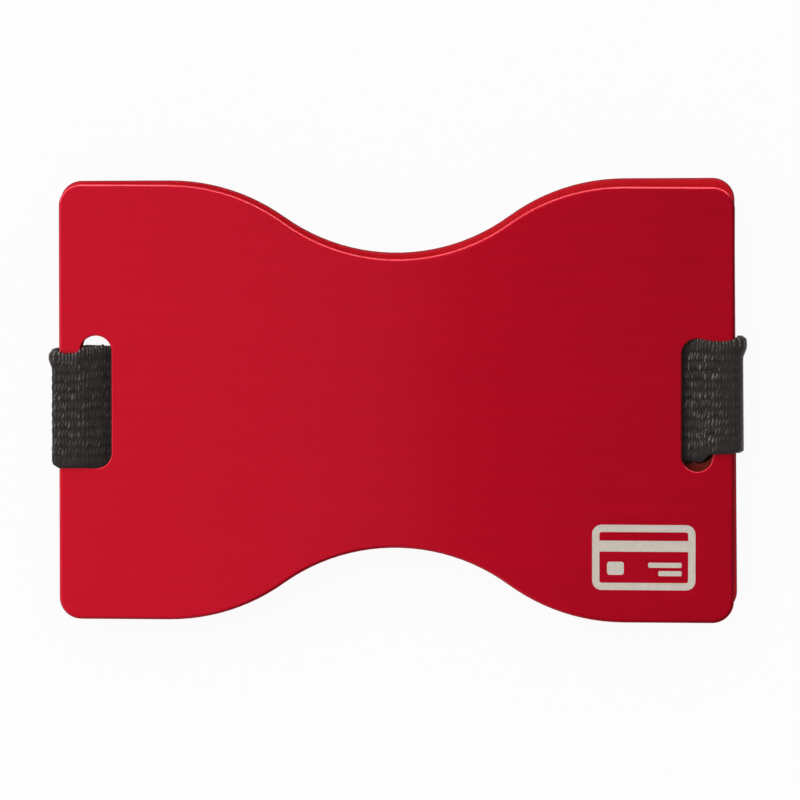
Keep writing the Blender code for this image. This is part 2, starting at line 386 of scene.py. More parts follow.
# %% Flat strips
YARN_UNEVENNESS = 0.035 * MM
YARN_DRIFT = 0.10 * MM
TOOTH_UNEVENNESS = 0.09 * MM
EDGE_RELIEF_SHARE = 0.8
steady_hand = np.random.default_rng(4)


def woven_strip(name, length):
    """A flat strip from x = 0 to the length, and the place in the weave of each of its points."""
    yarns = max(1, round(length / YARN_PITCH))
    strip = copied_piece(name, one_yarn.data)
    repeat_along(strip, yarns, (YARN_PITCH, 0, 0), SAME_PLACE)
    open_edit()
    bpy.ops.mesh.remove_doubles(threshold=SAME_PLACE)
    bpy.ops.mesh.fill_holes(sides=0)
    close_outwards()
    strip.data.shade_smooth()

    points = points_of(strip)
    place_along = points[:, 0] / YARN_PITCH
    place_across = points[:, 1] / core_pitch + CORES / 2
    phase = yarn_profile(np.clip(place_along % 1, 0, 1))
    on_face = np.abs(points[:, 1]) < STRIP_WIDTH / 2 - EDGE_REACH
    raised = phase * core_profile(place_across % 1) * on_face
    relief = np.where(on_face, raised, EDGE_RELIEF_SHARE * phase)

    columns = np.clip(place_along.astype(int), 0, yarns - 1)
    rows = np.clip(place_across.astype(int), 0, CORES - 1)
    faces = (points[:, 2] > 0).astype(int)
    lift, drift, climb = steady_hand.uniform(-1, 1, (3, yarns, CORES, 2))[:, columns, rows, faces]
    points[:, 2] += np.sign(points[:, 2]) * YARN_UNEVENNESS * (lift - 1) * raised
    points[:, 0] += YARN_DRIFT * drift * raised
    points[:, 1] += YARN_DRIFT * climb * raised
    tooth = steady_hand.uniform(-1, 1, (yarns, CORES))[columns, rows]
    toothed = (points[:, 1] > 0) & ~on_face
    points[:, 1] += TOOTH_UNEVENNESS * tooth * phase * toothed
    points[:, 0] *= length / (yarns * YARN_PITCH)

    place = strip.data.attributes.new("weave_place", "FLOAT_VECTOR", "POINT")
    place.data.foreach_set("vector", np.column_stack((place_along, place_across, relief)).ravel())
    print(name, "has", yarns, "yarns")
    return strip, points


# %% [markdown]
# The strip is laced along a route in the plate's own frame, where the plate's inner face is z = 0:
# flat behind the plate, up through the slot, over the outer face and round the short edge. The
# corners of that line are rounded, and each point of the strip is placed by its distance along the
# line and its height beside it. The plates have slipped a little, so each strip also leans.

# %% Route of the elastic
PLATE_GAP = 0.1 * MM
SLOT_BEND_RADIUS = 2.0 * MM
EDGE_BEND_RADIUS = 0.9 * MM
SLOT_SLOPE = math.radians(32.95)
BUTT_GAP = 0.1 * MM
BEND_STEPS = 24

plate_thickness = plate_high.z - plate_low.z
inner_line = -PLATE_GAP - STRIP_THICKNESS / 2
outer_line = plate_thickness + PLATE_GAP + STRIP_THICKNESS / 2
slot_run = (outer_line - inner_line) / 2 / math.tan(SLOT_SLOPE)
wall_x = plate_high.x + PLATE_GAP + STRIP_THICKNESS / 2
route_corners = [
    (0, inner_line, 0),
    (SLOT_CENTRE - slot_run, inner_line, SLOT_BEND_RADIUS),
    (SLOT_CENTRE + slot_run, outer_line, SLOT_BEND_RADIUS),
    (wall_x, outer_line, EDGE_BEND_RADIUS),
    (wall_x, BUTT_GAP / 2, 0),
]


def rounded_route(corners):
    """The line with its corners rounded, as four arrays: distance, x, z and direction."""
    rows = [(corners[0][0], corners[0][1], None)]
    for before, corner, after in zip(corners, corners[1:], corners[2:]):
        into = math.atan2(corner[1] - before[1], corner[0] - before[0])
        out = math.atan2(after[1] - corner[1], after[0] - corner[0])
        turn = out - into
        side = math.copysign(1, turn)
        back = corner[2] * math.tan(abs(turn) / 2)
        centre_x = corner[0] - back * math.cos(into) - side * corner[2] * math.sin(into)
        centre_z = corner[1] - back * math.sin(into) + side * corner[2] * math.cos(into)
        for i in range(BEND_STEPS + 1):
            angle = into + turn * i / BEND_STEPS
            x = centre_x + side * corner[2] * math.sin(angle)
            z = centre_z - side * corner[2] * math.cos(angle)
            rows.append((x, z, angle))
    rows.append((corners[-1][0], corners[-1][1], rows[-1][2]))
    rows[0] = (*rows[0][:2], rows[1][2])
    x, z, direction = np.array(rows, float).T
    distance = np.concatenate(([0], np.cumsum(np.hypot(np.diff(x), np.diff(z)))))
    return distance, x, z, direction


route = rounded_route(route_corners)
half_length = route[0][-1]
print("elastic from the middle to the short edge", round(half_length / MM, 2), "mm")

# %% [markdown]
# Each half of the holder has a frame of its own: the front one stands on the front plate's inner
# face, the rear one is turned over onto the rear plate. The elastic is stretched hardest where it
# goes over the short bars beside the slots, so it is narrower there and wider behind the plates.
# Inside a slot, an edge that lies near the round end is pressed into it and fills it. At the two
# sides the fold is slack, and its upper edge rolls outwards. Where the elastic turns over the short
# edges, most at the right, and where it rises out of the right slot and goes down into the left slot,
# its weave is pulled smooth and its stitches are painted darker: painted shade for those bends and
# the slot walls. Each of these is a smooth change to the points. The curves are places along the
# plate with amounts there, in millimetres or shares.

# %% Places and shapes of the elastic
FRONT_SHIFT, FRONT_LEAN = -0.03 * MM, math.radians(1.32)
REAR_SHIFT, REAR_LEAN = 0.5 * MM, math.radians(-0.29)
FRONT_SPREAD_UP = (
    (-47.7, -0.35), (-46.6, 0), (-44.2, 0), (-43.1, 0.8), (-40.5, 0.9), (-37, 0.3), (41, 0.25),
    (43.5, 0.12), (46.0, 0.05), (47.4, -0.1), (47.9, -0.4),
)
FRONT_SPREAD_DOWN = (
    (-47.7, -0.45), (-46.4, 0.15), (-44, 0.15), (-41, 0.25), (37.5, 0.3), (38.6, 0.88), (42, 0.88),
    (43.2, -0.2), (46.3, -0.28), (47.7, -0.8),
)
REAR_SPREAD_UP = (
    (-47.7, -0.7), (-45, -0.35), (-43.2, 0.1), (41.2, 0.1), (44, -0.25), (46.6, -0.25), (47.7, -0.6)
)
REAR_SPREAD_DOWN = (
    (-47.7, -0.5), (-46.4, 0), (-44, 0), (-41, 0.3), (36, 0.7), (38, 1.1), (43.4, 1.1), (45, -0.1),
    (46.3, -0.1), (47.7, -0.6),
)
SNUG_REACH = 1.0 * MM
SNUG_OVERFILL = 0.22 * MM
SQUEEZED_WIDTH = 3.0 * MM
BELOW_SLOT, INTO_SLOT, ABOVE_SLOT = 0.15 * MM, 0.05 * MM, 0.2 * MM
BESIDE_SLOT = 0.4 * MM
CURL_OUT_RIGHT, CURL_OUT_LEFT = 0.36 * MM, 0.24 * MM
CURL_UP_RIGHT, CURL_UP_LEFT = 0.72 * MM, 0.45 * MM
CURL_WIDTH = 2.1 * MM
CURL_WHOLE, CURL_REACH = 2.4 * MM, 4.4 * MM
CURL_SWELL = 0.3
WALL_THIN = 0.12
WALL_THIN_REACH = 4.5 * MM
# Where the weave is pulled smooth, its stitches are also painted darker: painted shade.
TIGHT_AND_SHADE_CURVE = (
    (-47.7, 0.35), (-44.5, 0.35), (-43.5, 0.6), (-39, 0.6), (-37.5, 0), (38.2, 0), (38.8, 0.9),
    (39.8, 0.75), (40.6, 0), (41.5, 0), (43.6, 0.25), (44.6, 0.5), (45.7, 0.9),
)

front_end = plate_low.z + BUTT_GAP / 2
rear_end = rear_high.z - BUTT_GAP / 2
wall_length = front_end - rear_end


def smooth(value, start, end):
    share = np.clip((value - start) / (end - start), 0, 1)
    return share * share * (3 - 2 * share)


def curled(across, up, from_wall, upper, right):
    """Thins the strip at the sides and rolls its upper edge outwards: upper is +1 or -1 across."""
    near_wall = 1 - smooth(np.abs(from_wall), CURL_WHOLE, CURL_REACH)
    to_edge = upper * across - STRIP_WIDTH / 2
    out = near_wall * smooth(to_edge, -CURL_WIDTH, -CURL_WIDTH / 3)
    lift = np.where(right, CURL_OUT_RIGHT, CURL_OUT_LEFT)
    rise = np.where(right, CURL_UP_RIGHT, CURL_UP_LEFT) * near_wall * smooth(to_edge, -CURL_WIDTH, 0)
    thin = WALL_THIN * (1 - smooth(np.abs(from_wall), WALL_THIN_REACH / 2, WALL_THIN_REACH))
    thick = up * (1 + CURL_SWELL * out) - (1 + np.sign(up)) / 2 * thin * STRIP_THICKNESS
    return across + upper * rise, thick + lift * out


def tightness_and_shade(x):
    """How far the weave is pulled smooth and painted darker with painted shade: 0 to 1."""
    return np.interp(x, *(np.array(TIGHT_AND_SHADE_CURVE).T * ((MM,), (1,))))


def tightened(up, x):
    relief = STRIP_THICKNESS / 2 - np.abs(up)
    return up + np.sign(up) * relief * tightness_and_shade(x)


def keep_openness_and_light(strip, x):
    """Keeps how open and unshaded the weave is at each point, for its colour, which carries painted
    shade.
    """
    openness_and_light = strip.data.attributes.new("weave_openness_and_light", "FLOAT", "POINT")
    openness_and_light.data.foreach_set("value", 1 - tightness_and_shade(x))


def fitted(x, across, z, spread, shift, lean, upper):
    """Leans the strip across the plate, spreads it to its width there and fits it to the slots."""
    middle = shift + math.tan(lean) * x
    up, down = (np.interp(x, *(np.array(curve).T * MM)) for curve in spread)
    to_plus, to_minus = (up, down) if upper > 0 else (down, up)
    half = STRIP_WIDTH / 2
    y = middle + across + np.where(across > 0, to_plus, to_minus) * across / half
    past_plate = smooth(z, plate_thickness, plate_thickness + ABOVE_SLOT)
    in_plate = smooth(z, -BELOW_SLOT, INTO_SLOT) * (1 - past_plate)
    slot_round = SLOT_RADIUS + SNUG_OVERFILL
    from_slot = np.abs(x) - SLOT_CENTRE
    in_plate = in_plate * (np.abs(from_slot) < slot_round + BESIDE_SLOT)
    slot_end = SLOT_STRAIGHT + np.sqrt(np.clip(slot_round ** 2 - from_slot ** 2, 0, None))
    for edge, extra in ((1, to_plus), (-1, to_minus)):
        edge_y = half + extra + edge * middle
        over = np.where(edge_y > SLOT_STRAIGHT + slot_round - SNUG_REACH, edge_y - slot_end, 0)
        share = smooth(edge * y, edge_y - SQUEEZED_WIDTH, edge_y)
        y = y - edge * in_plate * over * share
    return y


FRONT_FIT = ((FRONT_SPREAD_UP, FRONT_SPREAD_DOWN), FRONT_SHIFT, FRONT_LEAN, 1)
REAR_FIT = ((REAR_SPREAD_UP, REAR_SPREAD_DOWN), REAR_SHIFT, REAR_LEAN, -1)


def laced(strip, points, start, fit):
    """Places a flat strip along the route. Distances left of the middle are negative."""
    travelled = points[:, 0] + start
    right = travelled > 0
    mirror = np.where(right, 1, -1)
    distance, line_x, line_z, line_direction = route
    travelled = np.abs(travelled)
    from_wall = half_length + wall_length / 2 - travelled
    on_line = np.interp(travelled, distance, line_x)
    keep_openness_and_light(strip, mirror * on_line)
    heights = tightened(points[:, 2], mirror * on_line)
    across, up = curled(points[:, 1], heights, from_wall, fit[-1], right)
    direction = np.interp(travelled, distance, line_direction)
    x = mirror * (on_line - up * np.sin(direction))
    z = np.interp(travelled, distance, line_z) + up * np.cos(direction)
    return np.column_stack((x, fitted(x, across, z, *fit), z))


def wall_points(strip, points, side):
    """Places a flat strip down one side, from the front band's end to the rear band's end."""
    share = points[:, 0] / wall_length
    share = share if side > 0 else 1 - share
    from_wall = (share - 0.5) * wall_length
    beside = np.full(len(points), side * wall_x)
    keep_openness_and_light(strip, beside)
    heights = tightened(points[:, 2], beside)
    across, up = curled(points[:, 1], heights, from_wall, 1, side > 0)
    x = side * (wall_x + up)
    z = np.full_like(x, BUTT_GAP / 2)
    at_front = placed(front_place, np.column_stack((x, fitted(x, across, z, *FRONT_FIT), z)))
    at_rear = placed(rear_place, np.column_stack((x, fitted(x, -across, z, *REAR_FIT), z)))
    return at_front + (at_rear - at_front) * share[:, None]

print("elastic between the plates is", round(wall_length / MM, 2), "mm high")

# %% [markdown]
# Now the five stretches of the one strip. The band on the front plate moves with the front half,
# the two halves of the rear band with the rear half, and the short walls run between the plates.
# All of them end on the same two rings of points, so the weave runs on without a gap.

# %% Lace the elastic
def laced_strip(name, length, start, place, fit):
    """A stretch of elastic that is laced through one plate."""
    strip, flat = woven_strip(name, length)
    move_points(strip, placed(place, laced(strip, flat, start, fit)))
    report(strip)
    return strip


def side_wall(name, side):
    """A stretch of elastic between the plates: right with side = 1, left with side = -1."""
    strip, flat = woven_strip(name, wall_length)
    move_points(strip, wall_points(strip, flat, side))
    report(strip)
    return strip


rear_length = half_length - BUTT_GAP / 2
elastic_front = laced_strip("elastic_front", 2 * half_length, -half_length, front_place, FRONT_FIT)
elastic_rear_right = laced_strip("elastic_rear_right", rear_length, BUTT_GAP / 2, rear_place, REAR_FIT)
elastic_rear_left = laced_strip("elastic_rear_left", rear_length, -half_length, rear_place, REAR_FIT)
elastic_side_right = side_wall("elastic_side_right", 1)
elastic_side_left = side_wall("elastic_side_left", -1)
bpy.data.objects.remove(one_yarn)

# %% [markdown]
# The loop is closed by a zigzag seam on the rear run, on the side that faces the cards. One pair
# of stitches is a thin tube on a curve that rises over the elastic and dives back into it. An
# Array repeats the pair along the joint.

# %% Seam
THREAD_RADIUS = 0.125 * MM
STITCH_WIDTH = 4.0 * MM
STITCH_PITCH = 1.4 * MM
STITCH_PAIRS = 5
STITCH_DIP = 0.12 * MM

seam_low, seam_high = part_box("seam_thread")
seam_z = (seam_low.z + seam_high.z) / 2
seam_y = (seam_low.y + seam_high.y) / 2
bpy.ops.curve.primitive_bezier_curve_add()
seam = new_piece("seam_stitches")
stitch = seam.data.splines[0]
stitch.bezier_points.add(3)
for i, point in enumerate(stitch.bezier_points):
    in_fabric = i % 2 == 0
    x = (-0.5, 0, 0.5, 0, -0.5)[i] * STITCH_WIDTH
    y = (i / 2 - STITCH_PAIRS) * STITCH_PITCH
    point.co = (x, y, -STITCH_DIP if in_fabric else 0)
    point.handle_left_type = point.handle_right_type = "AUTO"
seam.data.bevel_depth = THREAD_RADIUS
seam.data.bevel_resolution = 2
seam.data.resolution_u = 6
bpy.ops.object.convert(target="MESH")
repeat_along(seam, STITCH_PAIRS, (0, 2 * STITCH_PITCH, 0), 10 * SAME_PLACE)
open_edit()
bpy.ops.mesh.fill_holes(sides=0)
bpy.ops.mesh.normals_make_consistent(inside=False)
close_edit()
seam.data.shade_smooth()
move_points(seam, points_of(seam) + np.array((0, seam_y, seam_z)))
report(seam)

# %% [markdown]
# The print on the front plate is one thin film of light ink, a plain picture of a bank card. Each
# patch is a plane with rounded corners, the frame of the card is inset and opened, and the patches
# are joined and given the thickness of the ink.

# %% Print
PRINT_PLACE = (34.1 * MM, -21.0 * MM)
PRINT_SIZE = (14.2 * MM, 9.0 * MM)
PRINT_LINE = 1.0 * MM
PRINT_CORNER = 1.3 * MM
INK_THICKNESS = 0.015 * MM
INK_LIFT = 0.004 * MM
PRINT_PATCHES = (
    ("stripe", (0, 1.55 * MM), (PRINT_SIZE[0] - 2 * PRINT_LINE, 1.5 * MM), 0.02 * MM),
    ("chip", (-3.9 * MM, -1.5 * MM), (2.3 * MM, 1.8 * MM), 0.35 * MM),
    ("short_bar", (2.9 * MM, -1.05 * MM), (4.6 * MM, 0.7 * MM), 0.2 * MM),
    ("long_bar", (3.6 * MM, -2.2 * MM), (3.2 * MM, 0.7 * MM), 0.2 * MM),
)


def ink_patch(name, place, size, corner):
    """A flat patch of ink with rounded corners, its place given from the middle of the print."""
    x = plate_middle.x + PRINT_PLACE[0] + place[0]
    y = plate_middle.y + PRINT_PLACE[1] + place[1]
    bpy.ops.mesh.primitive_plane_add(size=1, location=(x, y, plate_high.z + INK_LIFT))
    patch = new_piece(name)
    patch.scale = (size[0], size[1], 1)
    bpy.ops.object.transform_apply(location=True, rotation=True, scale=True)
    open_edit()
    bpy.ops.mesh.bevel(offset=corner, segments=8, affect="VERTICES")
    close_edit()
    return patch


card_edge = ink_patch("card_edge", (0, 0), PRINT_SIZE, PRINT_CORNER)
open_edit()
bpy.ops.mesh.inset(thickness=PRINT_LINE)
bpy.ops.mesh.delete(type="FACE")
close_edit()

patches = [card_edge] + [ink_patch(*patch) for patch in PRINT_PATCHES]
select_only(card_edge)
for patch in patches:
    patch.select_set(True)
bpy.ops.object.join()
card_print = new_piece("card_print")
film = card_print.modifiers.new("film of ink", "SOLIDIFY")
film.thickness = INK_THICKNESS
film.offset = 1
apply_modifiers(card_print)
report(card_print)

# %% [markdown]
# Materials are built from nodes in code, and small helpers keep that readable. One fills the inputs
# of a node, from numbers or from other sockets, and one adds a node and fills it. The others do
# arithmetic, mix colours, turn one range of values into another, read what a mesh carries and make
# bumps.

# %% Helpers for materials


def fill_inputs(tree, node, inputs):
    for socket, value in inputs.items():
        if isinstance(value, bpy.types.NodeSocket):
            tree.links.new(value, node.inputs[socket])
        else:
            node.inputs[socket].default_value = value


def add_node(tree, kind, inputs=None, **settings):
    node = tree.nodes.new(kind)
    for name, value in settings.items():
        setattr(node, name, value)
    fill_inputs(tree, node, inputs or {})
    return node


def maths(tree, operation, *values, clamp=False):
    inputs = dict(enumerate(values))
    return add_node(tree, "ShaderNodeMath", inputs, operation=operation, use_clamp=clamp).outputs[0]


def minus(tree, first, second, clamp=False):
    return maths(tree, "SUBTRACT", first, second, clamp=clamp)


def times(tree, first, second, clamp=False):
    return maths(tree, "MULTIPLY", first, second, clamp=clamp)


def scaled(tree, value, scale, least):
    """The value times the scale, plus the least."""
    return maths(tree, "MULTIPLY_ADD", value, scale, least)


def ramp(tree, value, low, high, start=0.0, end=1.0, course="LINEAR"):
    """Goes from start to end while the value goes from low to high, and no further."""
    inputs = {0: value, 1: low, 2: high, 3: start, 4: end}
    return add_node(tree, "ShaderNodeMapRange", inputs, interpolation_type=course).outputs[0]


def smooth_ramp(tree, value, low, high, start, end):
    return ramp(tree, value, low, high, start, end, "SMOOTHSTEP")


def noise(tree, place, scale, detail):
    inputs = {"Vector": place, "Scale": scale, "Detail": detail}
    return add_node(tree, "ShaderNodeTexNoise", inputs).outputs["Fac"]


def parts_of(tree, vector):
    return add_node(tree, "ShaderNodeSeparateXYZ", {0: vector}).outputs


def carried(tree, name, output="Fac"):
    """What each point of a mesh carries under a name."""
    return add_node(tree, "ShaderNodeAttribute", attribute_name=name).outputs[output]


def bumped(tree, height, distance, strength=1.0):
    inputs = {"Height": height, "Distance": distance, "Strength": strength}
    return add_node(tree, "ShaderNodeBump", inputs).outputs["Normal"]


def mixed(tree, factor, first, second):
    """A colour between the first and the second. Sockets 6 and 7 of the node are its two colours."""
    inputs = {0: factor, 6: first, 7: second}
    return add_node(tree, "ShaderNodeMix", inputs, data_type="RGBA").outputs[2]


def new_group(name, inputs, outputs):
    """An empty group: (group, its given values, the node that takes its results)."""
    group = bpy.data.node_groups.new(name, "ShaderNodeTree")
    for socket, kind, value in inputs:
        made = group.interface.new_socket(socket, in_out="INPUT", socket_type=kind)
        if value is not None:
            made.default_value = value
    for socket, kind in outputs:
        group.interface.new_socket(socket, in_out="OUTPUT", socket_type=kind)
    given = group.nodes.new("NodeGroupInput").outputs
    result = group.nodes.new("NodeGroupOutput")
    return group, given, result


def new_material(name):
    """An empty material: (material, tree, Principled BSDF, place in the piece's own frame)."""
    material = bpy.data.materials.new(name)
    material.use_nodes = True
    tree = material.node_tree
    place = add_node(tree, "ShaderNodeTexCoord").outputs["Object"]
    return material, tree, tree.nodes["Principled BSDF"], place


def dress(piece, material):
    piece.data.materials.clear()
    piece.data.materials.append(material)


def report_nodes(name, tree):
    print(name, "has", len(tree.nodes), "nodes")


def placed_group(tree, group, inputs):
    """The group's outputs, by name, with its inputs set or linked."""
    return add_node(tree, "ShaderNodeGroup", inputs, node_tree=group).outputs


FLOAT, VECTOR = "NodeSocketFloat", "NodeSocketVector"

# %% [markdown]
# Mottle is the slow, cloudy change that every real surface has: dye that took unevenly, ink that
# was laid thin, elastic that was handled. It is one group, because all the materials use it.

# %% Mottle group
mottle, given, result = new_group(
    "mottle",
    [("Vector", VECTOR, None), ("Patch Size", FLOAT, 5 * MM), ("Contrast", FLOAT, 0.5)],
    [("Mask", FLOAT)],
)
scale = maths(mottle, "DIVIDE", 1.0, given["Patch Size"])
centred = minus(mottle, noise(mottle, given["Vector"], scale, 4.0), 0.5)
stretched = times(mottle, centred, given["Contrast"])
fill_inputs(mottle, result, {"Mask": maths(mottle, "ADD", stretched, 0.5, clamp=True)})
report_nodes("mottle", mottle)

# %% [markdown]
# Brushing leaves long fine scratches in one direction. They are noise that is drawn out along X:
# the place is squeezed on that axis before the noise reads it. A fine and a coarser layer are
# mixed, and the mask feeds colour, roughness and a slight bump.

# %% Brushed grain group
COARSE_SHARE = 0.28
FINE_WEIGHT, COARSE_WEIGHT = 0.55, 0.45
GRAIN_LOW, GRAIN_HIGH = 0.32, 0.68

brushing, given, result = new_group(
    "brushed_grain",
    [("Vector", VECTOR, None), ("Line Width", FLOAT, 0.12 * MM), ("Stretch", FLOAT, 60.0)],
    [("Mask", FLOAT), ("Height", FLOAT)],
)
inverse = maths(brushing, "DIVIDE", 1.0, given["Stretch"])
squeeze = add_node(brushing, "ShaderNodeCombineXYZ", {0: inverse, 1: 1.0, 2: 1.0}).outputs[0]
squeezed = {0: given["Vector"], 1: squeeze}
drawn_out = add_node(brushing, "ShaderNodeVectorMath", squeezed, operation="MULTIPLY").outputs[0]
line_scale = maths(brushing, "DIVIDE", 1.0, given["Line Width"])
fine, coarse = (
    noise(brushing, drawn_out, times(brushing, line_scale, share), 3.0)
    for share in (1.0, COARSE_SHARE)
)
coarse = times(brushing, coarse, COARSE_WEIGHT)
both = scaled(brushing, fine, FINE_WEIGHT, coarse)
fill_inputs(brushing, result, {"Mask": ramp(brushing, both, GRAIN_LOW, GRAIN_HIGH), "Height": both})
report_nodes("brushed_grain", brushing)

# %% [markdown]
# The rim of a plate is where fingers and pockets rub. A face that leans away from the vertical
# belongs to the rim, and one that points sideways to the wall. The limits are cosines of that lean.
# Noise breaks the worn places up into nicks.

# %% Rim wear group
RIM_BEGINS, RIM_WHOLE = 0.985, 0.94
WALL_BEGINS, WALL_WHOLE = 0.6, 0.3
NICKS_BEGIN, NICKS_WHOLE = 0.56, 0.68

rim_wear, given, result = new_group(
    "rim_wear",
    [("Vector", VECTOR, None), ("Nick Size", FLOAT, 0.5 * MM)],
    [("Rim", FLOAT), ("Wall", FLOAT), ("Nicks", FLOAT)],
)
facing = add_node(rim_wear, "ShaderNodeNewGeometry").outputs["Normal"]
facing_parts = parts_of(rim_wear, facing)
facing_up = maths(rim_wear, "ABSOLUTE", facing_parts[2])
rim_mask = ramp(rim_wear, facing_up, RIM_BEGINS, RIM_WHOLE)
wall_mask = ramp(rim_wear, facing_up, WALL_BEGINS, WALL_WHOLE)
nick_scale = maths(rim_wear, "DIVIDE", 1.0, given["Nick Size"])
nick_noise = noise(rim_wear, given["Vector"], nick_scale, 3.0)
nicks = times(rim_wear, ramp(rim_wear, nick_noise, NICKS_BEGIN, NICKS_WHOLE), rim_mask)
fill_inputs(rim_wear, result, {"Rim": rim_mask, "Wall": wall_mask, "Nicks": nicks})
report_nodes("rim_wear", rim_wear)

# %% [markdown]
# Between the plates, the inner faces around the slots are painted a brown shade: painted shade for
# the shade that the other plate and the elastic cast there. The mark follows the slots: the distance
# to a slot's outline is worked out from the place.

# %% Painted slot shade group
SLOT_SHADE_POWER = 0.6

painted_slot_shade, given, result = new_group(
    "painted_slot_shade",
    [("Vector", VECTOR, None), ("Reach", FLOAT, 2.0 * MM)],
    [("Mask", FLOAT)],
)
place_parts = parts_of(painted_slot_shade, given["Vector"])
from_slot_x = minus(painted_slot_shade, maths(painted_slot_shade, "ABSOLUTE", place_parts[0]), SLOT_CENTRE)
from_slot_y = minus(painted_slot_shade, maths(painted_slot_shade, "ABSOLUTE", place_parts[1]), SLOT_STRAIGHT)
from_slot_y = maths(painted_slot_shade, "MAXIMUM", from_slot_y, 0.0)
squares = [times(painted_slot_shade, part, part) for part in (from_slot_x, from_slot_y)]
from_axis = maths(painted_slot_shade, "SQRT", maths(painted_slot_shade, "ADD", *squares))
from_outline = minus(painted_slot_shade, from_axis, SLOT_RADIUS)
reached = maths(painted_slot_shade, "DIVIDE", from_outline, given["Reach"])
inside_reach = minus(painted_slot_shade, 1.0, reached, clamp=True)
fill_inputs(painted_slot_shade, result, {"Mask": maths(painted_slot_shade, "POWER", inside_reach, SLOT_SHADE_POWER)})
report_nodes("painted_slot_shade", painted_slot_shade)

# %% [markdown]
# The plates' finish is metal seen through a dyed oxide film. So it is a metallic surface in the
# dye's red with a thin, weak coat for the film, which shines most on the rim that hands polish.
# Grain, broader streaks and mottle change its colour a little, and grain and mottle its roughness.
# The inner face is matt, and its red is painted lighter: painted light for the rear plate's band in
# the front plate's shade. The broken wall is dull, because its rough metal took the dye without a
# shine.

# %% Anodised aluminium
DYE_RED = (0.59, 0.0016, 0.0180, 1)
DYE_DEEP = (0.475, 0.0012, 0.0140, 1)
# The inner face's red is painted lighter than the dye: painted light.
MATT_RED_PAINTED_LIGHTER = (0.72, 0.013, 0.024, 1)
WALL_RED = (0.30, 0.014, 0.022, 1)
# The brown of the painted shade around the slots.
SLOT_SHADE_BROWN = (0.42, 0.055, 0.034, 1)
DYE_WORN = (0.66, 0.030, 0.050, 1)
EDGE_TINT = (0.80, 0.05, 0.08, 1)
RIM_COAT = 0.8
RIM_WORN_SHARE, NICK_WORN_SHARE = 0.5, 0.3
FACE_COAT = 0.16
MATT_ROUGHNESS = 0.12
RIM_POLISH = -0.12
WALL_ROUGHNESS = 0.7
GRAIN_TONE, CLOUD_TONE, STREAK_TONE = 0.35, 0.25, 0.4
FACE_ROUGHNESS, GRAIN_ROUGHNESS, CLOUD_ROUGHNESS = 0.27, 0.10, 0.06

anodised, tree, shader, place = new_material("anodised_red")
grain = placed_group(tree, brushing, {"Vector": place})
clouds = placed_group(tree, mottle, {"Vector": place, "Patch Size": 14 * MM, "Contrast": 1.2})
wear = placed_group(tree, rim_wear, {"Vector": place})
streaks = placed_group(tree, brushing, {"Vector": place, "Line Width": 0.2 * MM, "Stretch": 16.0})
tone = times(tree, clouds["Mask"], CLOUD_TONE)
tone = scaled(tree, grain["Mask"], GRAIN_TONE, tone)
tone = scaled(tree, streaks["Mask"], STREAK_TONE, tone)
dyed = mixed(tree, tone, DYE_DEEP, DYE_RED)
brushed_side = carried(tree, "outside")
matt_side = minus(tree, 1.0, brushed_side)
slot_shade = placed_group(tree, painted_slot_shade, {"Vector": place})
# The matt inner face gets its lighter red here, painted light for the shaded rear band.
colour = mixed(tree, matt_side, dyed, MATT_RED_PAINTED_LIGHTER)
# Painted shade: around the slots, the inner faces are painted brown.
colour = mixed(tree, times(tree, slot_shade["Mask"], matt_side), colour, SLOT_SHADE_BROWN)
worn = times(tree, wear["Rim"], RIM_WORN_SHARE)
worn = scaled(tree, wear["Nicks"], NICK_WORN_SHARE, worn)
colour = mixed(tree, worn, colour, DYE_WORN)
not_wall = minus(tree, 1.0, wear["Wall"])
film = scaled(tree, wear["Rim"], RIM_COAT, FACE_COAT)
roughness = scaled(tree, grain["Mask"], GRAIN_ROUGHNESS, FACE_ROUGHNESS)
roughness = scaled(tree, clouds["Mask"], CLOUD_ROUGHNESS, roughness)
roughness = scaled(tree, matt_side, MATT_ROUGHNESS, roughness)
roughness = scaled(tree, wear["Rim"], RIM_POLISH, roughness)
roughness = scaled(tree, wear["Wall"], WALL_ROUGHNESS - RIM_POLISH, roughness)
across_grain = add_node(tree, "ShaderNodeTangent", direction_type="RADIAL", axis="X")
fill_inputs(tree, shader, {
    "Base Color": mixed(tree, wear["Wall"], colour, WALL_RED),
    "Metallic": not_wall,
    "Coat Weight": times(tree, film, not_wall),
    "Coat Roughness": 0.10,
    "Roughness": roughness,
    "Normal": bumped(tree, grain["Height"], 0.004 * MM, 0.6),
    "Tangent": across_grain.outputs["Tangent"],
    "Anisotropic": 0.6,
    "Specular IOR Level": 0.12,
    "Specular Tint": EDGE_TINT,
})
for plate in (front_plate, rear_plate):
    dress(plate, anodised)
report_nodes("anodised_red", tree)

# %% [markdown]
# A yarn is a bundle of fibres. This group reads the place in the weave that each point carries, so
# it follows every bend. Inside each cell of the weave it draws one stitch: a long drop that leans
# like the mesh does, with fibres along it and a tone of its own. Beside the foot of some stitches
# it leaves a pinhole, a spot for painted shade where the eye would see down between the yarns.

# %% Yarn group
DROP_WIDTH, DROP_LENGTH = 0.25, 0.44
DROP_STRAY = 0.34
HOLE_WIDTH, HOLE_LENGTH = 0.22, 0.16
HOLE_ACROSS = -0.36
DROP_LENGTH_SPREAD = 0.24
OVAL_INNER, OVAL_OUTER = 0.35, 1.1
HOLELESS_SHARE = 0.3
FIBRE_WANDER = 9.0

